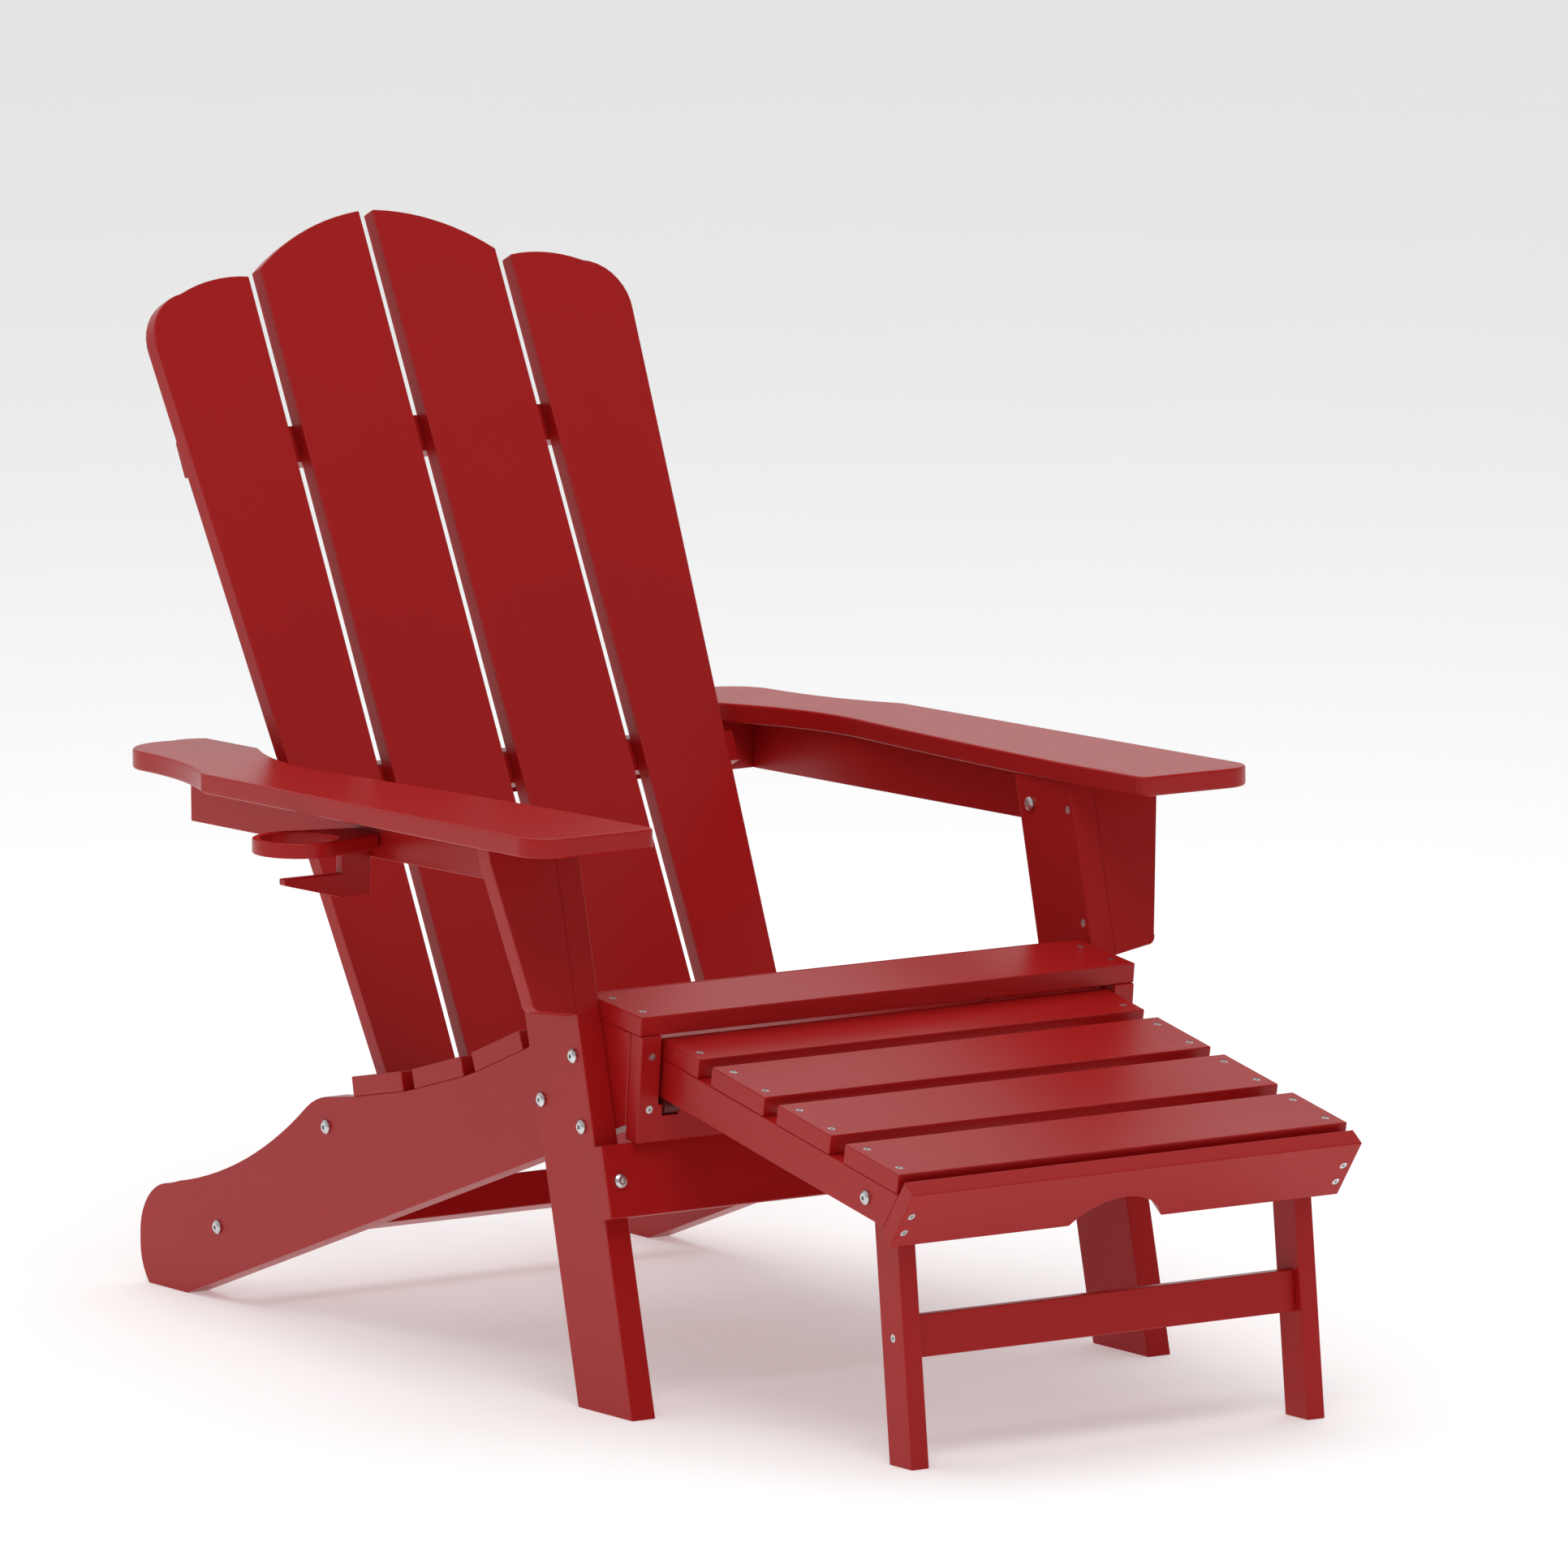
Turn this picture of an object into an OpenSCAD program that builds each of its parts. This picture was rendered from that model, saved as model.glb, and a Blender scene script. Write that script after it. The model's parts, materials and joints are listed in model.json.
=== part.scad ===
// Adirondack chair with a pull-out ottoman and a cup holder under one arm.
// X runs across the chair, Y to the rear and Z up. The shapes are drawn from a point on the floor midway
// between the front legs' feet, and place() then moves the origin to the middle of the footprint's box.
// Lengths are in millimetres and angles in degrees.

/* [Overall] */
// Clear width between the two front legs
seat_w = 546; // [440:1:680]
// Length of the back slats, up the slope of the back
back_len = 884; // [700:1:1100]
// Height of the arms' top face where it crosses Y = 0
arm_h = 537.9; // [500:0.1:600]

/* [Boards] */
// Thickness of legs and side rails
frame_t = 25.4; // [20:0.1:32]
// Thickness of seat slats, arms and other light boards
slat_t = 18.4; // [14:0.1:24]
// Thickness of the back slats
back_t = 17; // [14:0.1:20]
// Thickness of the lower batten behind the back
batten_t = 16.4; // [12:0.1:17]
// Thickness of the upper batten behind the back
upper_batten_t = 20; // [12:0.1:26]

/* [Front legs] */
// Width of a front leg, along Y
leg_w = 88; // [70:1:110]
// Lean of the front legs to the rear
leg_lean = 13.82; // [10:0.01:16]
// Height of the front stretcher board
front_stretcher_h = 67; // [50:0.5:67]
// Distance of the front stretcher's lower edge up the leg
front_stretcher_up = 183; // [120:0.5:183]

/* [Seat] */
// Width of a seat slat
seat_slat_w = 85.3; // [70:0.1:86]
// Width of the front plank
plank_w = 87.5; // [70:0.5:90]
// Half the width of the opening in the apron
apron_gap_w = 500.6; // [400:0.2:501]

/* [Arms] */
// Overhang of the arm outside the leg's inner face
arm_reach = 125.6; // [100:0.2:150]
// Height of the rail under the arm
arm_rail_h = 47; // [30:1:55]
// Fall of the arm to the rear
arm_fall = 1.04; // [0:0.01:2]

/* [Back] */
// Recline of the back from vertical
recline = 26.6; // [22:0.1:28]
// Width of an inner back slat
back_slat_w = 124.7; // [110:0.1:126]
// Gap between two back slats
back_gap = 14.8; // [8:0.1:20]
// Spread of the outer back slats' outer edges, per unit of slope length
back_spread = 0.0581; // [0:0.0001:0.08]
// Height of the upper batten
upper_batten_h = 36; // [25:1:45]
// Height of the lower batten
lower_batten_h = 30; // [25:1:45]

/* [Cup holder] */
// Diameter of the hole for the cup
cup_d = 71.4; // [60:0.1:80]
// Wall of the ring around the cup
cup_wall = 7.4; // [5:0.1:12]
// Thickness of the ring plate
cup_plate_t = 13.4; // [10:0.1:16]
// Thickness of the bracket below the ring
cup_bracket_t = 10; // [6:0.1:16]
// Distance of the cup's centre from the arm rail
cup_out = 74.8; // [68:0.1:90]

/* [Ottoman] */
// Rise of the ottoman's top to the rear
ottoman_rise = 10.863; // [9:0.01:12]
// Height of the ottoman's side rails
ottoman_rail_h = 36; // [30:0.5:37]
// Clearance between ottoman rail and side rail
slide_gap = 1.5; // [1:0.1:5]
// Thickness of the ottoman's legs
ottoman_leg_t = 19; // [15:0.1:22]
// Width of an ottoman leg
ottoman_leg_w = 35; // [28:0.5:35]
// Height of the handle panel
panel_h = 64.6; // [50:0.1:70]
// Rise of the hand grip in the handle panel
grip_h = 30; // [20:1:36]
// Diameter of the ottoman's pivot bolts
pivot_d = 8; // [6:0.1:10]

/* [Fasteners] */
// Diameter of a frame bolt's shank
bolt_d = 6; // [5:0.1:8]
// Diameter of a frame bolt's button head
bolt_head_d = 13; // [11:0.1:15]
// Diameter of a wood screw's shank
screw_d = 4; // [3:0.1:5]
// Diameter of a wood screw's head
screw_head_d = 7.6; // [6.5:0.1:9]

/* [Hidden] */
$fn = 64;
big = 2000;
red = [0.53, 0.10, 0.10];
steel = [0.72, 0.73, 0.74];
hole_gap = 0.06;
run_gap = 0.05;
bolt_head_h = 4;
screw_head_h = 2.6;
screw_sink = 0.3;

// Planes across the chair, each measured from the middle
leg_in = seat_w / 2;
leg_out = leg_in + frame_t;
side_in = leg_in - frame_t;
arm_rail_out = leg_out + slat_t;
screw_x = leg_in - 14;
seat_screw_len = 34;
panel_screw_len = 34;
panel_screw_up = [17, 55.4 - slat_t];
plank_screw_front = slat_t + 0.6;
stretcher_gap = 0.6;
stretcher_top = front_stretcher_up + front_stretcher_h;
rear_bolt_len = 60;
stretcher_bolt_len = 55;
base_screw_len = 45;
bracket_screw_len = 50;
ottoman_screw_len = 40;
arm_rail_bolt_len = frame_t + slat_t - 3;
arm_screw_len = arm_rail_h + 10;
cup_screw_len = slat_t + 24;
joint_gap = 0.1;

// Leg planes
leg_dir = [0, sin(leg_lean), cos(leg_lean)];
leg_depth = leg_w * cos(leg_lean);

// Seat boards, each as [front top y, front top z, slope to the rear]
plank = [-21.8, 363.9, 6.84];
seat_boards = [[372.8, 260.5, -11.1], [273.9, 288.2, -15.9], [177.6, 325.5, -21.7], [86.5, 371, -27]];

// Apron: the top of its front face and its lean
apron_top = [-21.7, 345.4];
apron_lean = 5.49;
apron_h = 98.8;

// Side rails
rail_slope = 19.63;
rail_heel_y = 739.2;
rail_toe_y = 804.6;
rear_rail_pos = [498, 191.3];
rear_stretcher_pos = [684.1, 70.5];
rear_stretcher_size = [32, 33];

// Back, measured along its slope from the floor
back_foot_y = 348.6;
back_low = 223.7;
back_top = back_low + back_len;
upper_batten_s = back_top - 236;
lower_batten_s = 540.1;
rear_rail_h = 34;
rear_rail_depth = 56;
rear_rail_s = 220.7;
outer_slat_in = back_gap / 2 + back_slat_w + back_gap;
outer_edge_foot = leg_in - 63.3;

// Arm rail and rear cross rail
arm_rail_end_y = 661;
cross_rail_t = 25;
cross_rail_drop = 8;
cross_rail_seat = 26;
cross_screw_len = cross_rail_t + 20;

// Ottoman, in the plane of its top
ottoman_top_z = 344.8;
ottoman_rail_out = side_in - slide_gap;
ottoman_rail_in = ottoman_rail_out - slat_t;
ottoman_leg_out = ottoman_rail_in - 0.5;
ottoman_leg_in = ottoman_leg_out - ottoman_leg_t;
ottoman_slat_w = 85.2;
ottoman_slat_front = [-396.4, -288.4, -182.1, -76];
rear_slat_w = 61.7;
stop_h = 16;
stop_t = 8;
stop_gap = 0.8;
stop_meet_up = 36;
stop_screw_len = stop_h + 14;
panel_foot = [-360.3, 212.5];
panel_lean = 35.94;
panel_t = 17.8;
pivot_y = -338.8;
pivot_z = ottoman_top_z + pivot_y * tan(ottoman_rise)
    - (slat_t + ottoman_leg_w / 2 + 0.8) / cos(ottoman_rise);
ottoman_leg_lean = 6.285;
leg_stretcher_h = 38;
leg_stretcher_down = 128;
roller_r = 7;
roller_y = -12;
roller_z = ottoman_top_z + roller_y * tan(ottoman_rise)
    - (slat_t + ottoman_rail_h + roller_r + 0.6) / cos(ottoman_rise);
roller_pin_d = 3;
leg_notch_depth = 4.2;

// Three-point arc from a to c through b, as a list of points
function centre3(a, b, c) =
    let (
        d = 2 * (a[0] * (b[1] - c[1]) + b[0] * (c[1] - a[1]) + c[0] * (a[1] - b[1])),
        qa = a * a,
        qb = b * b,
        qc = c * c
    )
    [
        (qa * (b[1] - c[1]) + qb * (c[1] - a[1]) + qc * (a[1] - b[1])) / d,
        (qa * (c[0] - b[0]) + qb * (a[0] - c[0]) + qc * (b[0] - a[0])) / d
    ];
function wrap(t) = t > 180 ? t - 360 : t < -180 ? t + 360 : t;
function arc3(a, b, c, n = 10) =
    let (
        m = centre3(a, b, c),
        r = norm(a - m),
        t0 = atan2(a[1] - m[1], a[0] - m[0]),
        t1 = wrap(atan2(c[1] - m[1], c[0] - m[0]) - t0)
    )
    [for (i = [0:n]) m + r * [cos(t0 + t1 * i / n), sin(t0 + t1 * i / n)]];

// Underside corners of a seat board, front then rear
function under(board, width) =
    let (
        along = [cos(board[2]), sin(board[2])],
        down = [sin(board[2]), -cos(board[2])],
        front = [board[0], board[1]] + slat_t * down
    )
    [front, front + width * along];

// A profile in the side plane, drawn as [y, z] and extruded from x0 to x1
module side_profile(points, x0, x1) {
    translate([x0, 0, 0])
        rotate([90, 0, 90])
            linear_extrude(x1 - x0)
                polygon(points);
}

// A profile drawn as [x, z], with its front at y0 and its rear at y1
module front_profile(points, y0, y1) {
    translate([0, y1, 0])
        rotate([90, 0, 0])
            linear_extrude(y1 - y0)
                polygon(points);
}

module both_sides() {
    for (side = [0, 1])
        mirror([side, 0, 0])
            children();
}

// Frames that slant with a board
module leg_space() {
    translate([0, -leg_w / 2, 0])
        rotate([-leg_lean, 0, 0])
            children();
}
module back_space() {
    translate([0, back_foot_y, 0])
        rotate([-recline, 0, 0])
            children();
}
module board_space(board) {
    translate([0, board[0], board[1]])
        rotate([board[2], 0, 0])
            children();
}
module apron_space() {
    translate([0, apron_top[0], apron_top[1]])
        rotate([apron_lean, 0, 0])
            children();
}
module arm_space() {
    translate([0, 0, arm_h])
        rotate([-arm_fall, 0, 0])
            children();
}
module ottoman_space() {
    translate([0, 0, ottoman_top_z])
        rotate([ottoman_rise, 0, 0])
            children();
}
module panel_space() {
    translate([0, panel_foot[0], panel_foot[1]])
        rotate([panel_lean, 0, 0])
            children();
}
module pivot_space() {
    translate([0, pivot_y, pivot_z])
        rotate([-ottoman_leg_lean, 0, 0])
            children();
}

// Fasteners point down Z, with Z = 0 on the surface of the board
module bolt(length) {
    difference() {
        union() {
            cylinder(d = bolt_head_d, h = bolt_head_h * 0.55);
            translate([0, 0, bolt_head_h * 0.55])
                cylinder(d1 = bolt_head_d, d2 = bolt_head_d * 0.62, h = bolt_head_h * 0.45);
            translate([0, 0, -length])
                cylinder(d = bolt_d, h = length);
        }
        translate([0, 0, bolt_head_h - 2.4])
            cylinder(d = bolt_head_d * 0.36, h = 3, $fn = 6);
    }
}
module bolt_hole(length) {
    translate([0, 0, -length - 0.5])
        cylinder(d = bolt_d + 2 * hole_gap, h = length + 1.5);
}
module screw(length) {
    translate([0, 0, -screw_sink])
        difference() {
            union() {
                translate([0, 0, -screw_head_h])
                    cylinder(d = screw_head_d, h = screw_head_h);
                translate([0, 0, -length])
                    cylinder(d = screw_d, h = length);
            }
            translate([0, 0, -1.2])
                cylinder(d = screw_head_d * 0.42, h = 3, $fn = 6);
        }
}
module screw_hole(length) {
    translate([0, 0, -screw_sink - screw_head_h])
        cylinder(d = screw_head_d + 2 * hole_gap, h = screw_head_h + screw_sink + 1);
    translate([0, 0, -screw_sink - length - 0.5])
        cylinder(d = screw_d + 2 * hole_gap, h = length + 0.6);
}

// Turns a fastener so that it enters a face from the front, the rear or one side
module from_front() {
    rotate([90, 0, 0])
        children();
}
module from_rear() {
    rotate([-90, 0, 0])
        children();
}
module from_right() {
    rotate([0, 90, 0])
        children();
}
module from_left() {
    rotate([0, -90, 0])
        children();
}
module from_below() {
    rotate([180, 0, 0])
        children();
}

// Where each family of fasteners sits: the children are one fastener or its hole
leg_bolt_pos = [[50.4, 321.6], [101.8, 274.5], [36.4, 258.5]];
leg_bolt_len = 2 * frame_t - 3;
module at_leg_bolts() {
    for (p = leg_bolt_pos)
        translate([leg_out, p[0], p[1]])
            from_right()
                children();
}
module at_frame_bolts() {
    for (p = [rear_rail_pos, [rear_stretcher_pos[0], rear_stretcher_pos[1]]])
        translate([leg_in, p[0], p[1]])
            from_right()
                children();
}
module at_arm_rail_bolt() {
    translate([leg_in, 145.3, 490.8])
        from_left()
            children();
}
module at_bracket_screws() {
    leg_space()
        for (s = [404, 509])
            translate([leg_in, slat_t / 2, s])
                from_left()
                    children();
}
module at_stretcher_bolts() {
    leg_space()
        translate([(leg_in + leg_out) / 2 + 3, -slat_t, front_stretcher_up + front_stretcher_h / 2])
            from_front()
                children();
}
module at_board_screws(board, width, front = 19) {
    board_space(board)
        for (y = [front, width - 20])
            translate([screw_x, y, 0])
                children();
}
module at_seat_screws() {
    at_board_screws(plank, plank_w, plank_screw_front)
        children();
    for (b = seat_boards)
        at_board_screws(b, seat_slat_w)
            children();
}
module at_apron_screws() {
    apron_space()
        for (z = [-19, -68])
            translate([screw_x + 1, 0, z])
                from_front()
                    children();
}
module at_arm_screws() {
    arm_space()
        for (y = [140, 380, 560])
            translate([(leg_out + arm_rail_out) / 2, y, -slat_t - arm_rail_h])
                from_below()
                    children();
}
module at_cross_rail_screws() {
    arm_space()
        translate([leg_in + 3, arm_rail_end_y - cross_rail_t / 2, -slat_t - arm_rail_h])
            from_below()
                children();
}
module at_batten_to_cross_screws() {
    for (x = [90, 200])
        translate([x, arm_rail_end_y, 484])
            from_rear()
                children();
}
module at_batten_screws(middle, thickness) {
    back_space()
        for (x = [30, 108, 165, outer_edge_foot + 8])
            translate([x, back_t + thickness, middle])
                from_rear()
                    children();
}
module at_lower_back_screws() {
    at_batten_screws(lower_batten_s + lower_batten_h / 2, batten_t)
        children();
}
module at_upper_back_screws() {
    at_batten_screws(upper_batten_s + upper_batten_h / 2, upper_batten_t)
        children();
}
module back_screw_holes() {
    at_lower_back_screws()
        screw_hole(batten_t + 12);
    at_upper_back_screws()
        screw_hole(upper_batten_t + 12);
    at_base_screws()
        screw_hole(base_screw_len);
}
module at_base_screws() {
    back_space()
        for (x = [70, 178])
            translate([x, 0, rear_rail_s + rear_rail_h / 2])
                from_front()
                    children();
}
module at_cup_plate_screw() {
    translate([-arm_rail_out - 26, cup_y, cup_top_z])
        children();
}
module at_cup_bracket_screw() {
    translate([-leg_out, cup_y, cup_top_z - cup_plate_t - 5])
        from_right()
            children();
}
module at_ottoman_screws() {
    ottoman_space()
        for (i = [0:3])
            for (y = i == 3 ? [17] : [17, ottoman_slat_w - 17])
                translate([ottoman_rail_out - slat_t / 2 - 3, ottoman_slat_front[i] + y, 0])
                    children();
}
module at_panel_screws() {
    panel_space()
        for (z = panel_screw_up)
            translate([ottoman_rail_out - slat_t / 2, -panel_t, z])
                from_front()
                    children();
}
module at_pivot() {
    translate([ottoman_rail_out, pivot_y, pivot_z])
        from_right()
            children();
}
module at_leg_stretcher_screws() {
    pivot_space()
        translate([ottoman_leg_out, 0, -leg_stretcher_down])
            from_right()
                children();
}

// Side rails: the long boards that carry the seat and reach the floor at the rear
seat_under = concat(
    under(seat_boards[3], seat_slat_w),
    under(seat_boards[2], seat_slat_w),
    under(seat_boards[1], seat_slat_w),
    under(seat_boards[0], seat_slat_w)
);
plank_under = under(plank, plank_w);
function apron_rear_y(z) =
    apron_top[0] + (apron_top[1] - z) * tan(apron_lean) + slat_t / cos(apron_lean);
rail_front_y = (apron_rear_y(rail_heel_y * tan(rail_slope)) + joint_gap)
    / (1 - tan(rail_slope) * tan(apron_lean));
rail_front_low_z = (rail_heel_y - rail_front_y) * tan(rail_slope);
rail_nose_y = apron_rear_y(plank_under[0][1] + slat_t * tan(plank[2])) + joint_gap;
rail_outline = concat(
    [[rail_heel_y, 0], [rail_toe_y, 0]],
    arc3([rail_toe_y, 0], [815.8, 16.9], [819.8, 36], 5),
    arc3([819.8, 44], [804.3, 84.4], [769, 99.5], 10),
    [[752.7, 104.4]],
    arc3([752.7, 104.4], [632.6, 144], [533.5, 205], 14),
    arc3([533.5, 205], [514, 215.5], [490.4, 220.2], 5),
    [for (i = [7:-1:0]) seat_under[i]],
    [
        plank_under[1],
        [rail_nose_y, plank_under[0][1] + (rail_nose_y - plank_under[0][0]) * tan(plank[2])],
        [rail_front_y, rail_front_low_z]
    ]
);
// Ledge of the apron's opening, just above the rollers' axis, and the rear ends of the ottoman's rails,
// whose stop blocks stand behind the apron
ledge_z = roller_z + 1.83;
apron_ledge_h = apron_h - (apron_top[1] - ledge_z) / cos(apron_lean);
apron_low_z = apron_top[1] - apron_h * cos(apron_lean);
rail_rear = stop_t + (apron_rear_y(apron_low_z + stop_meet_up) + stop_gap
    - (slat_t + ottoman_rail_h) * sin(ottoman_rise)) / cos(ottoman_rise);
module side_rail() {
    color(red)
        difference() {
            side_profile(rail_outline, side_in, leg_in);
            at_leg_bolts()
                bolt_hole(leg_bolt_len);
            at_frame_bolts()
                bolt_hole(rear_bolt_len);
            at_seat_screws()
                screw_hole(seat_screw_len);
            at_apron_screws()
                screw_hole(base_screw_len);
        }
}
module side_rail_left() {
    mirror([1, 0, 0])
        side_rail();
}
module side_rail_right() {
    side_rail();
}

// Everything that stops at the underside of the arms is cut with this
module above_arm_underside() {
    arm_space()
        translate([-big / 2, -big / 2, -slat_t])
            cube([big, big, big]);
}

module front_leg() {
    color(red)
        difference() {
            leg_space()
                translate([leg_in, 0, -60])
                    cube([frame_t, leg_depth, 700]);
            above_arm_underside();
            translate([0, -big / 2, -big])
                cube([big, big, big]);
            at_leg_bolts()
                bolt_hole(leg_bolt_len);
            at_arm_rail_bolt()
                bolt_hole(arm_rail_bolt_len);
            at_bracket_screws()
                screw_hole(bracket_screw_len);
            at_stretcher_bolts()
                bolt_hole(stretcher_bolt_len);
        }
}
module front_leg_left() {
    mirror([1, 0, 0])
        front_leg();
}
module front_leg_right() {
    front_leg();
}

// Tapered boards that carry the arms' front ends
bracket_reach = 70.5;
bracket_foot = 46.4;
module arm_bracket() {
    color(red)
        difference() {
            leg_space()
                front_profile(
                    concat(
                        [[leg_out, 371]],
                        arc3([leg_out + bracket_foot - 9, 377.1], [leg_out + bracket_foot - 1.9, 380],
                            [leg_out + bracket_foot, 387.5], 6),
                        [[leg_out + bracket_reach, 515], [leg_out + bracket_reach + 3, 700], [leg_out, 700]]
                    ),
                    0, slat_t
                );
            above_arm_underside();
            at_bracket_screws()
                screw_hole(bracket_screw_len);
        }
}
module arm_bracket_left() {
    mirror([1, 0, 0])
        arm_bracket();
}
module arm_bracket_right() {
    arm_bracket();
}

// Arm outline, seen from above: x is measured outwards from the leg's inner face
arm_outline = concat(
    arc3([-5, -29], [-1.6, -37], [6, -40], 5),
    arc3([arm_reach - 36, -41.5], [arm_reach - 8.8, -31], [arm_reach, -8], 8),
    [[arm_reach - 6.2, 522.5]],
    arc3([arm_reach - 6.2, 522.5], [arm_reach - 38, 622], [arm_reach - 44, 684], 12),
    arc3([arm_reach - 44, 684], [arm_reach - 58, 721], [arm_reach - 108, 734.9], 10),
    arc3([arm_reach - 108, 734.9], [arm_reach - 133, 734.5], [-18.5, 728], 4),
    [[-18.5, 640], [-12, 626]],
    arc3([-12, 626], [16, 540], [20, 453], 10),
    arc3([20, 453], [6.8, 300], [-5, 90], 12)
);
module arm() {
    color(red)
        difference() {
            arm_space()
                translate([leg_in, 0, -slat_t])
                    linear_extrude(slat_t)
                        polygon(arm_outline);
            at_arm_screws()
                screw_hole(arm_screw_len);
            at_cross_rail_screws()
                screw_hole(arm_screw_len);
        }
}
module arm_left() {
    mirror([1, 0, 0])
        arm();
}
module arm_right() {
    arm();
}

module arm_rail() {
    color(red)
        difference() {
            arm_space()
                translate([leg_out, -100, -slat_t - arm_rail_h])
                    cube([slat_t, 100 + arm_rail_end_y, arm_rail_h]);
            leg_space()
                translate([0, -big, -big / 2])
                    cube([big, big + slat_t, big]);
            translate([0, arm_rail_end_y, 0])
                cube(big);
            at_arm_rail_bolt()
                bolt_hole(arm_rail_bolt_len);
            at_arm_screws()
                screw_hole(arm_screw_len);
        }
}
module arm_rail_left() {
    color(red)
        difference() {
            mirror([1, 0, 0])
                arm_rail();
            at_cup_bracket_screw()
                screw_hole(cup_screw_len);
        }
}
module arm_rail_right() {
    arm_rail();
}

module rear_cross_rail() {
    color(red)
        difference() {
            intersection() {
                arm_space()
                    translate([-leg_out, 0, -slat_t - arm_rail_h])
                        cube([2 * leg_out, big, arm_rail_h]);
                translate([-leg_out, arm_rail_end_y - cross_rail_t, 0])
                    cube([2 * leg_out, cross_rail_t, big]);
            }
            // the upper edge is lower between the arms
            arm_space()
                translate([-leg_in + cross_rail_seat, 0, -slat_t - cross_rail_drop])
                    cube([2 * (leg_in - cross_rail_seat), big, big]);
            both_sides() {
                at_cross_rail_screws()
                    screw_hole(arm_screw_len);
                at_batten_to_cross_screws()
                    screw_hole(cross_screw_len);
            }
        }
}

// Boards across the seat
module cross_board(board, width, front = 19) {
    color(red)
        difference() {
            board_space(board)
                translate([-leg_in, 0, -slat_t])
                    cube([seat_w, width, slat_t]);
            both_sides()
                at_board_screws(board, width, front)
                    screw_hole(seat_screw_len);
        }
}
module front_seat_plank() {
    cross_board(plank, plank_w, plank_screw_front);
}
module seat_slat_1() {
    cross_board(seat_boards[0], seat_slat_w);
}
module seat_slat_2() {
    cross_board(seat_boards[1], seat_slat_w);
}
module seat_slat_3() {
    cross_board(seat_boards[2], seat_slat_w);
}
module seat_slat_4() {
    cross_board(seat_boards[3], seat_slat_w);
}

// Apron behind the front plank's edge, with a wide opening for the ottoman
module apron() {
    gap = apron_gap_w / 2 + leg_in - 273;
    color(red)
        difference() {
            apron_space()
                translate([-leg_in + 0.9, 0, -apron_h])
                    cube([seat_w - 1.8, slat_t, apron_h + 8]);
            board_space(plank)
                translate([-big / 2, -50, -slat_t])
                    cube([big, big, big]);
            apron_space()
                translate([-gap, -1, -apron_h + apron_ledge_h])
                    cube([2 * gap, slat_t + 2, big]);
            // room for the front stretcher's upper edge
            leg_space()
                translate([-big / 2, -slat_t - stretcher_gap, stretcher_top + stretcher_gap - big])
                    cube([big, leg_w, big]);
            both_sides() {
                roller_notch();
                leg_notch();
                at_apron_screws()
                    screw_hole(base_screw_len);
                at_roller_pin()
                    cylinder(d = roller_pin_d + 2 * hole_gap, h = roller_pin_len + 1, center = true);
            }
        }
}

module front_stretcher() {
    end = leg_out + 5;
    color(red)
        difference() {
            leg_space()
                translate([-end, -slat_t, front_stretcher_up])
                    cube([2 * end, slat_t, front_stretcher_h]);
            both_sides()
                at_stretcher_bolts()
                    bolt_hole(stretcher_bolt_len);
        }
}

module rear_stretcher() {
    color(red)
        difference() {
            translate([-side_in, rear_stretcher_pos[0], rear_stretcher_pos[1]])
                rotate([-rail_slope, 0, 0])
                    translate([0, -rear_stretcher_size[0] / 2, -rear_stretcher_size[1] / 2])
                        cube([2 * side_in, rear_stretcher_size[0], rear_stretcher_size[1]]);
            both_sides()
                at_frame_bolts()
                    bolt_hole(rear_bolt_len);
        }
}

module rear_seat_rail() {
    color(red)
        difference() {
            back_space()
                translate([-side_in, back_t, rear_rail_s])
                    cube([2 * side_in, rear_rail_depth, rear_rail_h]);
            both_sides() {
                at_frame_bolts()
                    bolt_hole(rear_bolt_len);
                at_base_screws()
                    screw_hole(base_screw_len);
            }
        }
}

// Back slats: the crown falls away from the middle, and the outer slats have a round shoulder
inner_slat_out = back_gap / 2 + back_slat_w;
inner_top = arc3([0, back_top + 0.5], [67, back_top - 12.9], [inner_slat_out + 1, back_top - 49], 12);
module back_slat_inner() {
    color(red)
        difference() {
            back_space()
                intersection() {
                    translate([back_gap / 2, 0, back_low])
                        cube([back_slat_w, back_t, back_len + 10]);
                    front_profile(
                        concat([[0, 0]], inner_top, [[inner_slat_out + 1, 0]]),
                        0, back_t
                    );
                }
            back_screw_holes();
        }
}
function outer_edge(s) = outer_edge_foot + back_spread * s;
shoulder = back_top - 66.5;
module back_slat_outer() {
    end = outer_edge(shoulder - 53);
    color(red)
        difference() {
            back_space()
                front_profile(
                    concat(
                        [[outer_slat_in, back_low], [outer_slat_in, shoulder + 10]],
                        arc3([outer_slat_in + 1, shoulder + 11.2],
                            [(outer_slat_in + end) / 2 - 23, shoulder + 11],
                            [end - 42.6, shoulder], 8),
                        arc3([end - 41, shoulder - 0.6], [end - 10.5, shoulder - 18],
                            [end, shoulder - 53], 9),
                        [[outer_edge(back_low), back_low]]
                    ),
                    0, back_t
                );
            back_screw_holes();
        }
}
module back_slat_outer_left() {
    mirror([1, 0, 0])
        back_slat_outer();
}
module back_slat_inner_left() {
    mirror([1, 0, 0])
        back_slat_inner();
}
module back_slat_inner_right() {
    back_slat_inner();
}
module back_slat_outer_right() {
    back_slat_outer();
}

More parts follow.
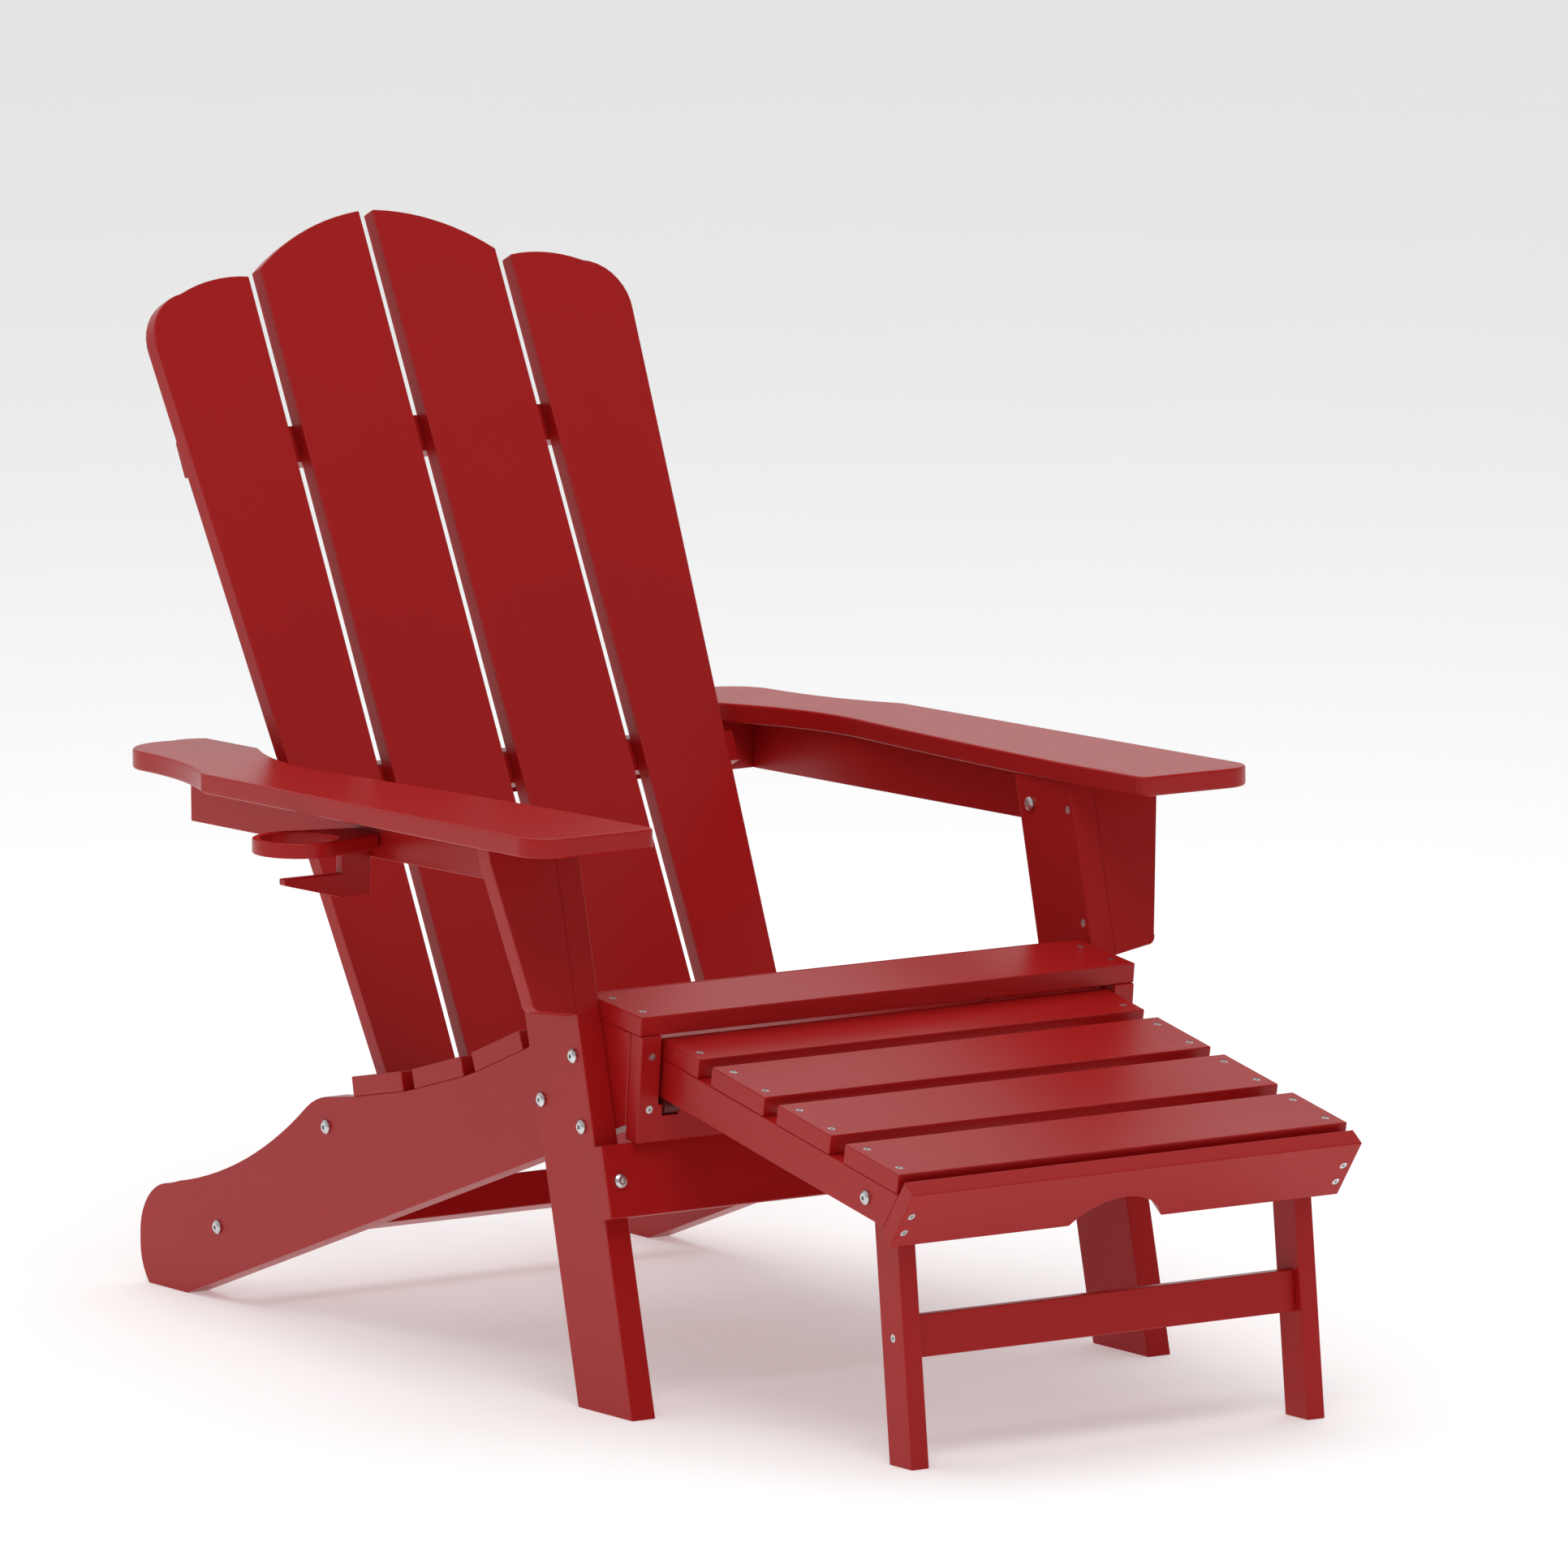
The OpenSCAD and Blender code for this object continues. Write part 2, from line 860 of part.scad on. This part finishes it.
module batten(s, end, thickness, height) {
    back_space()
        translate([-end, back_t, s])
            cube([2 * end, thickness, height]);
}
module upper_back_batten() {
    color(red)
        difference() {
            batten(upper_batten_s, leg_in - 23, upper_batten_t, upper_batten_h);
            both_sides()
                at_upper_back_screws()
                    screw_hole(upper_batten_t + 12);
        }
}
module lower_back_batten() {
    color(red)
        difference() {
            batten(lower_batten_s, leg_in - 10, batten_t, lower_batten_h);
            both_sides() {
                at_lower_back_screws()
                    screw_hole(batten_t + 12);
                at_batten_to_cross_screws()
                    screw_hole(cross_screw_len);
            }
        }
}

// Cup holder under the left arm
cup_y = 360.6;
cup_top_z = 489.8;
cup_ring_r = cup_d / 2 + cup_wall;
cup_taper = 18;
module cup_ring_plate() {
    x0 = -arm_rail_out;
    tx = cup_ring_r * sin(cup_taper);
    ty = cup_ring_r * cos(cup_taper);
    end = ty - (cup_out - tx) * tan(cup_taper);
    corner = 5;
    color(red)
        difference() {
            translate([x0, cup_y, cup_top_z - cup_plate_t])
                difference() {
                    union() {
                        translate([-cup_out, 0, 0])
                            cylinder(r = cup_ring_r, h = cup_plate_t, $fn = 96);
                        linear_extrude(cup_plate_t)
                            polygon(concat(
                                [[-cup_out + tx, ty]],
                                arc3([-corner - 1, end + 1.9], [-1.6, end - 0.6], [0, end - corner], 5),
                                arc3([0, -end + corner], [-1.6, -end + 0.6], [-corner - 1, -end - 1.9], 5),
                                [[-cup_out + tx, -ty]]
                            ));
                    }
                    translate([-cup_out, 0, -1])
                        cylinder(d = cup_d, h = cup_plate_t + 2, $fn = 96);
                }
            at_cup_plate_screw()
                screw_hole(seat_screw_len);
        }
}
module cup_support_bracket() {
    x0 = -arm_rail_out;
    top = cup_top_z - cup_plate_t;
    color(red)
        difference() {
            front_profile(
                [[x0, top], [x0 - 31.7, top], [x0 - 31.7, top - 23.3], [x0 - 93.6, top - 23.3],
                    [x0 - 93.6, top - 29.2], [x0 - 31.7, top - 45.2], [x0, top - 45.2]],
                cup_y - cup_bracket_t / 2, cup_y + cup_bracket_t / 2
            );
            at_cup_plate_screw()
                screw_hole(seat_screw_len);
            at_cup_bracket_screw()
                screw_hole(cup_screw_len);
        }
}

// Fastener groups of the chair
module leg_bolts() {
    color(steel)
        both_sides() {
            at_leg_bolts()
                bolt(leg_bolt_len);
            at_arm_rail_bolt()
                bolt(arm_rail_bolt_len);
            at_stretcher_bolts()
                bolt(stretcher_bolt_len);
        }
}
module rear_frame_bolts() {
    color(steel)
        both_sides()
            at_frame_bolts()
                bolt(rear_bolt_len);
}
module seat_screws() {
    color(steel)
        both_sides()
            at_seat_screws()
                screw(seat_screw_len);
}
module apron_screws() {
    color(steel)
        both_sides()
            at_apron_screws()
                screw(base_screw_len);
}
module arm_screws() {
    color(steel)
        both_sides() {
            at_arm_screws()
                screw(arm_screw_len);
            at_bracket_screws()
                screw(bracket_screw_len);
            at_cross_rail_screws()
                screw(arm_screw_len);
        }
}
module back_screws() {
    color(steel)
        both_sides() {
            at_lower_back_screws()
                screw(batten_t + 12);
            at_upper_back_screws()
                screw(upper_batten_t + 12);
            at_batten_to_cross_screws()
                screw(cross_screw_len);
            at_base_screws()
                screw(base_screw_len);
        }
}
module cup_screws() {
    color(steel) {
        at_cup_plate_screw()
            screw(seat_screw_len);
        at_cup_bracket_screw()
            screw(cup_screw_len);
    }
}

// Rollers in the apron's ledge carry and steer the ottoman's rails
roller_pin_len = 24;
module at_roller_pin() {
    translate([ottoman_rail_out - slat_t / 2, roller_y, roller_z])
        rotate([0, 90, 0])
            children();
}
module roller_notch() {
    translate([ottoman_rail_in + 0.4, roller_y - roller_r - 1.5, roller_z - roller_r - 1])
        cube([slat_t - 0.8, 2 * roller_r + 3, 30]);
}
// Room for the folded legs above the ledge
module leg_notch() {
    apron_space()
        translate([ottoman_leg_in - 1.5, -1, -apron_h + apron_ledge_h - leg_notch_depth])
            cube([ottoman_leg_t + 2, slat_t + 2, 30]);
}
module glide_rollers() {
    color([0.9, 0.9, 0.88])
        both_sides()
            at_roller_pin()
                difference() {
                    cylinder(r = roller_r, h = slat_t - 2, center = true);
                    cylinder(d = roller_pin_d + 2 * run_gap, h = slat_t, center = true);
                }
}
module roller_pins() {
    color(steel)
        both_sides()
            at_roller_pin()
                cylinder(d = roller_pin_d, h = roller_pin_len, center = true);
}

// Ottoman
module in_front_of_panel_rear() {
    panel_space()
        translate([-big / 2, -big, -big / 2])
            cube([big, big, big]);
}
module ottoman_rail() {
    color(red)
        difference() {
            ottoman_space()
                translate([ottoman_rail_in, -480, -slat_t - ottoman_rail_h])
                    cube([slat_t, 480 + rail_rear, ottoman_rail_h]);
            in_front_of_panel_rear();
            at_ottoman_screws()
                screw_hole(ottoman_screw_len);
            at_panel_screws()
                screw_hole(panel_screw_len);
            at_pivot()
                translate([0, 0, -30])
                    cylinder(d = pivot_d + 2 * hole_gap, h = 40);
            at_stop_screws()
                screw_hole(stop_screw_len);
        }
}
module ottoman_rail_left() {
    mirror([1, 0, 0])
        ottoman_rail();
}
module ottoman_rail_right() {
    ottoman_rail();
}
module ottoman_slat(i, width) {
    color(red)
        difference() {
            ottoman_space()
                translate([-ottoman_rail_out, ottoman_slat_front[i], -slat_t])
                    cube([2 * ottoman_rail_out, width, slat_t]);
            both_sides()
                at_ottoman_screws()
                    screw_hole(ottoman_screw_len);
        }
}
module ottoman_slat_1() {
    ottoman_slat(0, ottoman_slat_w);
}
module ottoman_slat_2() {
    ottoman_slat(1, ottoman_slat_w);
}
module ottoman_slat_3() {
    ottoman_slat(2, ottoman_slat_w);
}
module ottoman_slat_4() {
    ottoman_slat(3, rear_slat_w);
}

// Handle panel with an arched hand grip in its lower edge
grip_r = 57.5;
module handle_panel() {
    color(red)
        difference() {
            panel_space()
                difference() {
                    translate([-ottoman_rail_out, -panel_t, 0])
                        cube([2 * ottoman_rail_out, panel_t, panel_h]);
                    translate([0, 1, grip_h - grip_r])
                        rotate([90, 0, 0])
                            cylinder(r = grip_r, h = panel_t + 2, $fn = 96);
                }
            both_sides()
                at_panel_screws()
                    screw_hole(panel_screw_len);
        }
}

// Blocks under the rails' rear ends that meet the apron when the ottoman is fully out
module at_stop_screws() {
    ottoman_space()
        translate([ottoman_rail_out - slat_t / 2, rail_rear - stop_t / 2, -slat_t - ottoman_rail_h - stop_h])
            from_below()
                children();
}
module ottoman_stop_blocks() {
    color(red)
        both_sides()
            difference() {
                ottoman_space()
                    translate([ottoman_rail_in, rail_rear - stop_t, -slat_t - ottoman_rail_h - stop_h])
                        cube([slat_t, stop_t, stop_h]);
                at_stop_screws()
                    screw_hole(stop_screw_len);
            }
}

module ottoman_leg() {
    foot = -pivot_z / cos(ottoman_leg_lean);
    color(red)
        difference() {
            pivot_space() {
                translate([ottoman_leg_in, -ottoman_leg_w / 2, foot - 20])
                    cube([ottoman_leg_t, ottoman_leg_w, 20 - foot]);
                translate([ottoman_leg_in, 0, 0])
                    rotate([0, 90, 0])
                        cylinder(d = ottoman_leg_w, h = ottoman_leg_t);
            }
            translate([0, -big / 2, -big])
                cube([big, big, big]);
            at_pivot()
                translate([0, 0, -60])
                    cylinder(d = pivot_d + 2 * run_gap, h = 70);
            at_leg_stretcher_screws()
                screw_hole(bracket_screw_len);
        }
}
module ottoman_leg_left() {
    mirror([1, 0, 0])
        ottoman_leg();
}
module ottoman_leg_right() {
    ottoman_leg();
}
module leg_stretcher() {
    color(red)
        difference() {
            pivot_space()
                translate([-ottoman_leg_in, -slat_t / 2, -leg_stretcher_down - leg_stretcher_h / 2])
                    cube([2 * ottoman_leg_in, slat_t, leg_stretcher_h]);
            both_sides()
                at_leg_stretcher_screws()
                    screw_hole(bracket_screw_len);
        }
}

module ottoman_screws() {
    color(steel)
        both_sides() {
            at_ottoman_screws()
                screw(ottoman_screw_len);
            at_panel_screws()
                screw(panel_screw_len);
            at_stop_screws()
                screw(stop_screw_len);
        }
}
module leg_pivot_bolts() {
    color(steel)
        both_sides()
            at_pivot()
                difference() {
                    union() {
                        cylinder(d = bolt_head_d, h = bolt_head_h * 0.55);
                        translate([0, 0, bolt_head_h * 0.55])
                            cylinder(d1 = bolt_head_d, d2 = bolt_head_d * 0.62, h = bolt_head_h * 0.45);
                        translate([0, 0, ottoman_leg_in - ottoman_rail_out - 4])
                            cylinder(d = pivot_d, h = ottoman_rail_out - ottoman_leg_in + 4);
                        translate([0, 0, ottoman_leg_in - ottoman_rail_out - 4.6])
                            cylinder(d = bolt_head_d, h = 4);
                    }
                    translate([0, 0, bolt_head_h - 2.4])
                        cylinder(d = bolt_head_d * 0.36, h = 3, $fn = 6);
                }
}
module leg_stretcher_screws() {
    color(steel)
        both_sides()
            at_leg_stretcher_screws()
                screw(bracket_screw_len);
}

// Middle of the whole chair's box, from the handle panel's top edge to the back's top edge and from the
// cup ring to the far arm
box_mid_x = (leg_in + arm_reach - arm_rail_out - cup_out - cup_ring_r) / 2;
box_front_y = panel_foot[0] - panel_h * sin(panel_lean) - panel_t * cos(panel_lean);
box_rear_y = back_foot_y + back_top * sin(recline) + back_t * cos(recline);
box_mid_y = (box_front_y + box_rear_y) / 2;
module place() {
    translate([-box_mid_x, -box_mid_y, 0])
        children();
}

place() side_rail_left();
place() side_rail_right();
place() front_leg_left();
place() front_leg_right();
place() arm_bracket_left();
place() arm_bracket_right();
place() arm_left();
place() arm_right();
place() arm_rail_left();
place() arm_rail_right();
place() rear_cross_rail();
place() front_seat_plank();
place() seat_slat_1();
place() seat_slat_2();
place() seat_slat_3();
place() seat_slat_4();
place() apron();
place() front_stretcher();
place() rear_stretcher();
place() rear_seat_rail();
place() back_slat_outer_left();
place() back_slat_inner_left();
place() back_slat_inner_right();
place() back_slat_outer_right();
place() upper_back_batten();
place() lower_back_batten();
place() cup_ring_plate();
place() cup_support_bracket();
place() leg_bolts();
place() rear_frame_bolts();
place() seat_screws();
place() apron_screws();
place() arm_screws();
place() back_screws();
place() cup_screws();
place() glide_rollers();
place() roller_pins();
place() ottoman_rail_left();
place() ottoman_rail_right();
place() ottoman_slat_1();
place() ottoman_slat_2();
place() ottoman_slat_3();
place() ottoman_slat_4();
place() handle_panel();
place() ottoman_stop_blocks();
place() ottoman_screws();
place() leg_pivot_bolts();
place() ottoman_leg_left();
place() ottoman_leg_right();
place() leg_stretcher();
place() leg_stretcher_screws();
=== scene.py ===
import json
from math import radians

import bmesh
import bpy
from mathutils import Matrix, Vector


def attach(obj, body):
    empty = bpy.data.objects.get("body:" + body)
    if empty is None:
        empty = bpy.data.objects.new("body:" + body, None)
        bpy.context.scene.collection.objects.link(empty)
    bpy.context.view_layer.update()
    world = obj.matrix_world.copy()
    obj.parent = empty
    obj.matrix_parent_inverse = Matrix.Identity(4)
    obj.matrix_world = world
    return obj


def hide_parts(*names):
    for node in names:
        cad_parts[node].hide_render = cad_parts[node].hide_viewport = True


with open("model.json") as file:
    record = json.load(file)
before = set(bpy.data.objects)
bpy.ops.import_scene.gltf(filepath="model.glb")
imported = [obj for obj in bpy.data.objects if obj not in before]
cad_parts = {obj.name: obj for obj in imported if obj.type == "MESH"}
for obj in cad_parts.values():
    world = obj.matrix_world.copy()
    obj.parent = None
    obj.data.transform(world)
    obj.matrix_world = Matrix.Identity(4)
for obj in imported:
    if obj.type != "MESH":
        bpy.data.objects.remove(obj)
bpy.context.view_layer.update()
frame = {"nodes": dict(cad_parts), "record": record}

mm = 0.001

# which body carries each node, and which slot finishes it
bodyOf = {node: body for body, nodes in frame["record"]["behaviour"]["bodies"].items() for node in nodes}
slotOf = {part["node"]: part["material_slot"] for part in frame["record"]["subparts"]}


def newMaterial(name):
    material = bpy.data.materials.new(name)
    material.use_nodes = True
    tree = material.node_tree
    return material, tree, tree.nodes["Principled BSDF"]


def objectPattern(tree, scale):
    # object coordinates stretched by scale, so a pattern can run along a board
    coords = tree.nodes.new("ShaderNodeTexCoord")
    mapping = tree.nodes.new("ShaderNodeMapping")
    mapping.inputs["Scale"].default_value = scale
    tree.links.new(coords.outputs["Object"], mapping.inputs["Vector"])
    return mapping.outputs["Vector"]


def noise(tree, vector, scale, detail=3.0, roughness=0.5):
    node = tree.nodes.new("ShaderNodeTexNoise")
    node.inputs["Scale"].default_value = scale
    node.inputs["Detail"].default_value = detail
    node.inputs["Roughness"].default_value = roughness
    tree.links.new(vector, node.inputs["Vector"])
    return node.outputs["Fac"]


def remap(tree, value, low, high):
    # the noise lies mostly between 0.3 and 0.7, so that band is spread from low to high
    node = tree.nodes.new("ShaderNodeMapRange")
    node.inputs["From Min"].default_value = 0.3
    node.inputs["From Max"].default_value = 0.7
    node.inputs["To Min"].default_value = low
    node.inputs["To Max"].default_value = high
    tree.links.new(value, node.inputs["Value"])
    return node.outputs["Result"]


def bump(tree, height, strength, distance, normal=None):
    node = tree.nodes.new("ShaderNodeBump")
    node.inputs["Strength"].default_value = strength
    node.inputs["Distance"].default_value = distance
    tree.links.new(height, node.inputs["Height"])
    if normal is not None:
        tree.links.new(normal, node.inputs["Normal"])
    return node.outputs["Normal"]


boardFinish = {
    "darkRed": (0.385, 0.0075, 0.0078, 1.0),
    "lightRed": (0.415, 0.0088, 0.0090, 1.0),
    "roughLow": 0.29,
    "roughHigh": 0.33,
    "specular": 0.25,
    "lineScale": 420.0,
    "cloudScale": 9.0,
    "skinScale": 900.0,
    "grainBump": 0.02,
    "grainDepth": 0.25 * mm,
    "skinBump": 0.07,
    "skinDepth": 0.12 * mm,
}

# how the extrusion lines run: long and thin along the named axis
grainScale = {
    "across": (0.04, 1.0, 1.0),
    "along": (1.0, 0.04, 1.0),
    "up": (1.0, 1.0, 0.04),
}


def boardMaterial(direction):
    # plastic board: satin skin with faint drawn-out lines, mottling and a fine orange peel
    f = boardFinish
    material, tree, shader = newMaterial("redBoard_" + direction)
    drawn = objectPattern(tree, grainScale[direction])
    lines = noise(tree, drawn, f["lineScale"], detail=4.0, roughness=0.6)
    even = objectPattern(tree, (1.0, 1.0, 1.0))
    cloud = noise(tree, even, f["cloudScale"], detail=2.0)
    skin = noise(tree, even, f["skinScale"], detail=2.0)
    mix = tree.nodes.new("ShaderNodeMix")
    mix.data_type = "RGBA"
    mix.inputs["A"].default_value = f["darkRed"]
    mix.inputs["B"].default_value = f["lightRed"]
    tree.links.new(remap(tree, cloud, low=0.25, high=0.75), mix.inputs["Factor"])
    tree.links.new(mix.outputs["Result"], shader.inputs["Base Color"])
    tree.links.new(remap(tree, lines, f["roughLow"], f["roughHigh"]), shader.inputs["Roughness"])
    relief = bump(tree, lines, f["grainBump"], f["grainDepth"])
    relief = bump(tree, skin, f["skinBump"], f["skinDepth"], relief)
    tree.links.new(relief, shader.inputs["Normal"])
    shader.inputs["Specular IOR Level"].default_value = f["specular"]
    return material


steelFinish = {
    "dark": (0.50, 0.50, 0.51, 1.0),
    "light": (0.74, 0.74, 0.75, 1.0),
    "roughLow": 0.22,
    "roughHigh": 0.42,
    "scratchScale": 1500.0,
    "blotchScale": 160.0,
    "scratchBump": 0.12,
    "scratchDepth": 0.1 * mm,
}


def steelMaterial():
    # stainless steel, tumbled: small scratches and uneven polish
    f = steelFinish
    material, tree, shader = newMaterial("stainlessSteel")
    even = objectPattern(tree, (1.0, 1.0, 1.0))
    scratches = noise(tree, even, f["scratchScale"], detail=5.0, roughness=0.7)
    blotch = noise(tree, even, f["blotchScale"], detail=2.0)
    mix = tree.nodes.new("ShaderNodeMix")
    mix.data_type = "RGBA"
    mix.inputs["A"].default_value = f["dark"]
    mix.inputs["B"].default_value = f["light"]
    tree.links.new(remap(tree, blotch, low=0.2, high=1.0), mix.inputs["Factor"])
    tree.links.new(mix.outputs["Result"], shader.inputs["Base Color"])
    tree.links.new(remap(tree, scratches, f["roughLow"], f["roughHigh"]), shader.inputs["Roughness"])
    tree.links.new(bump(tree, scratches, f["scratchBump"], f["scratchDepth"]), shader.inputs["Normal"])
    shader.inputs["Metallic"].default_value = 1.0
    return material


# the roller's dark red is painted shade: it stands in for the shadow in the gap around the roller
nylonShadeFinish = {
    "shade": (0.085, 0.005, 0.005, 1.0),
    "tint": (0.115, 0.007, 0.007, 1.0),
    "rough": 0.45,
    "cloudScale": 300.0,
    "skinScale": 1800.0,
    "skinBump": 0.1,
    "skinDepth": 0.1 * mm,
}


def nylonShadeMaterial():
    # dull red nylon, darkened as painted shade for the shadow gap where the rail sits on the ledge, and
    # faintly mottled
    f = nylonShadeFinish
    material, tree, shader = newMaterial("nylonRollerPaintedShade")
    even = objectPattern(tree, (1.0, 1.0, 1.0))
    mix = tree.nodes.new("ShaderNodeMix")
    mix.data_type = "RGBA"
    mix.inputs["A"].default_value = f["shade"]
    mix.inputs["B"].default_value = f["tint"]
    cloud = noise(tree, even, f["cloudScale"])
    tree.links.new(remap(tree, cloud, low=0.0, high=1.0), mix.inputs["Factor"])
    tree.links.new(mix.outputs["Result"], shader.inputs["Base Color"])
    skin = noise(tree, even, f["skinScale"])
    tree.links.new(bump(tree, skin, f["skinBump"], f["skinDepth"]), shader.inputs["Normal"])
    shader.inputs["Roughness"].default_value = f["rough"]
    return material


floorFinish = {
    "grey": (0.88, 0.88, 0.88, 1.0),
    "white": (0.92, 0.92, 0.92, 1.0),
    "cloudScale": 3.0,
    "rough": 0.9,
    "glow": 0.33,
}


def floorMaterial():
    # near-white floor that gives off a little light of its own
    f = floorFinish
    material, tree, shader = newMaterial("paleFloor")
    even = objectPattern(tree, (1.0, 1.0, 1.0))
    mix = tree.nodes.new("ShaderNodeMix")
    mix.data_type = "RGBA"
    mix.inputs["A"].default_value = f["grey"]
    mix.inputs["B"].default_value = f["white"]
    cloud = noise(tree, even, f["cloudScale"])
    tree.links.new(remap(tree, cloud, low=0.4, high=0.6), mix.inputs["Factor"])
    tree.links.new(mix.outputs["Result"], shader.inputs["Base Color"])
    shader.inputs["Roughness"].default_value = f["rough"]
    shader.inputs["Emission Color"].default_value = f["white"]
    shader.inputs["Emission Strength"].default_value = f["glow"]
    return material


boardMaterials = {direction: boardMaterial(direction) for direction in grainScale}
steel = steelMaterial()
# roller material, darkened with painted shade
nylon = nylonShadeMaterial()
print("materials ready")


boardEdges = {
    "round": 1.1 * mm,       # radius along the long edges of a board
    "armRound": 2.2 * mm,    # the arms are rounded more, to be comfortable
    "segments": 3,
    "shortest": 1.2 * mm,    # edges shorter than this belong to screw holes and stay sharp
    "sharpness": radians(24),
    "creased": radians(40),  # shading breaks at edges sharper than this
    "samePoint": 0.01 * mm,
    "sameFace": radians(0.4),
    "flatWeight": 50,
}


def grainOf(node):
    if node.startswith(("arm_left", "arm_right", "arm_rail", "side_rail", "ottoman_rail")):
        return "along"
    if node.startswith(("front_leg", "back_slat", "arm_bracket", "ottoman_leg")):
        return "up"
    return "across"


def roundEdges(bm, width):
    # rounds the long sharp edges, and leaves screw holes as they were drilled
    e = boardEdges
    sharp = [
        edge for edge in bm.edges
        if len(edge.link_faces) == 2
        and edge.calc_length() > e["shortest"]
        and edge.calc_face_angle(0.0) > e["sharpness"]
    ]
    bmesh.ops.bevel(
        bm, geom=sharp, offset=width, offset_type="OFFSET", affect="EDGES",
        segments=e["segments"], profile=0.5, material=-1, clamp_overlap=False,
    )


def roundedBoard(node):
    source = frame["nodes"][node]
    bm = bmesh.new()
    bm.from_mesh(source.data)
    bmesh.ops.remove_doubles(bm, verts=bm.verts, dist=boardEdges["samePoint"])
    bmesh.ops.dissolve_limit(
        bm, angle_limit=boardEdges["sameFace"], use_dissolve_boundaries=False,
        verts=bm.verts, edges=bm.edges,
    )
    width = boardEdges["armRound"] if node in ("arm_left", "arm_right") else boardEdges["round"]
    roundEdges(bm, width)
    for face in bm.faces:
        face.smooth = True
    mesh = bpy.data.meshes.new("board_" + node)
    bm.to_mesh(mesh)
    bm.free()
    board = bpy.data.objects.new("board_" + node, mesh)
    bpy.context.scene.collection.objects.link(board)
    mesh.materials.append(boardMaterials[grainOf(node)])
    mesh.set_sharp_from_angle(angle=boardEdges["creased"])
    # keeps the wide faces flat between the rounded edges
    flats = board.modifiers.new("flatFaces", "WEIGHTED_NORMAL")
    flats.mode = "FACE_AREA"
    flats.weight = boardEdges["flatWeight"]
    flats.keep_sharp = True
    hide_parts(node)
    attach(board, bodyOf[node])
    return board


boardNodes = [node for node, slot in slotOf.items() if slot == "red_board"]
for node in boardNodes:
    roundedBoard(node)
print("boards rounded:", len(boardNodes))


fastenerEdges = {"round": 0.5 * mm, "segments": 2, "merge": 0.005 * mm, "sharpness": radians(35)}


def softenNode(node, material):
    # the drilled and turned pieces keep their shape, with their rims broken
    piece = frame["nodes"][node]
    weld = piece.modifiers.new("mergePoints", "WELD")
    weld.merge_threshold = fastenerEdges["merge"]
    rim = piece.modifiers.new("breakRims", "BEVEL")
    rim.width = fastenerEdges["round"]
    rim.segments = fastenerEdges["segments"]
    rim.limit_method = "ANGLE"
    rim.angle_limit = fastenerEdges["sharpness"]
    rim.use_clamp_overlap = True
    piece.data.materials.clear()
    piece.data.materials.append(material)


for node, slot in slotOf.items():
    if slot == "stainless":
        softenNode(node, steel)
    if slot == "nylon":
        softenNode(node, nylon)
print("fasteners and rollers finished")


studio = {
    "floorSize": 90.0,
    "world": (1.0, 1.0, 1.0, 1.0),
    "brightSide": (0.05, 0.98, 0.0),   # the room is lightest towards here
    "worldBright": 0.77,
    "worldDim": 0.20,
    "keyPower": 175.0,
    "keySize": 4.2,
    "keyPlace": (-2.2, -3.9, 7.2),
    "topPower": 70.0,
    "topSize": 4.0,
    "topPlace": (0.5, 1.0, 5.0),
    "aim": (0.0, 0.15, 0.4),
}

cameraSetup = {
    "place": (-9.98283, -14.65339, 3.225),
    "tilt": radians(81.339),
    "turn": radians(-34.449),
    "sensor": 36.0,
    "lens": 448.98,
    "farthest": 200.0,
}


def makeFloor():
    bm = bmesh.new()
    bmesh.ops.create_grid(bm, x_segments=1, y_segments=1, size=studio["floorSize"] / 2)
    mesh = bpy.data.meshes.new("floor")
    bm.to_mesh(mesh)
    bm.free()
    floor = bpy.data.objects.new("floor", mesh)
    bpy.context.scene.collection.objects.link(floor)
    mesh.materials.append(floorMaterial())


def makeLight(name, power, size, place):
    lamp = bpy.data.lights.new(name, "AREA")
    lamp.energy = power
    lamp.size = size
    light = bpy.data.objects.new(name, lamp)
    light.location = place
    facing = Vector(studio["aim"]) - Vector(place)
    light.rotation_euler = facing.to_track_quat("-Z", "Y").to_euler()
    bpy.context.scene.collection.objects.link(light)


def makeWorld():
    # a white room, brighter behind the chair than in front of it
    world = bpy.data.worlds.new("studio")
    world.use_nodes = True
    tree = world.node_tree
    sky = tree.nodes["Background"]
    sky.inputs["Color"].default_value = studio["world"]
    coords = tree.nodes.new("ShaderNodeTexCoord")
    facing = tree.nodes.new("ShaderNodeVectorMath")
    facing.operation = "DOT_PRODUCT"
    facing.inputs[1].default_value = studio["brightSide"]
    ramp = tree.nodes.new("ShaderNodeMapRange")
    ramp.inputs["From Min"].default_value = -1.0
    ramp.inputs["From Max"].default_value = 1.0
    ramp.inputs["To Min"].default_value = studio["worldDim"]
    ramp.inputs["To Max"].default_value = studio["worldBright"]
    tree.links.new(coords.outputs["Generated"], facing.inputs[0])
    tree.links.new(facing.outputs["Value"], ramp.inputs["Value"])
    tree.links.new(ramp.outputs["Result"], sky.inputs["Strength"])
    bpy.context.scene.world = world
    bpy.context.scene.view_settings.view_transform = "Standard"


def makeCamera():
    data = bpy.data.cameras.new("camera")
    data.sensor_width = cameraSetup["sensor"]
    data.lens = cameraSetup["lens"]
    data.clip_end = cameraSetup["farthest"]
    camera = bpy.data.objects.new("camera", data)
    camera.location = cameraSetup["place"]
    camera.rotation_euler = (cameraSetup["tilt"], 0.0, cameraSetup["turn"])
    bpy.context.scene.collection.objects.link(camera)
    bpy.context.scene.camera = camera


makeFloor()
makeLight("keyLight", studio["keyPower"], studio["keySize"], studio["keyPlace"])
makeLight("topLight", studio["topPower"], studio["topSize"], studio["topPlace"])
makeWorld()
makeCamera()
print("floor, lights and camera placed")
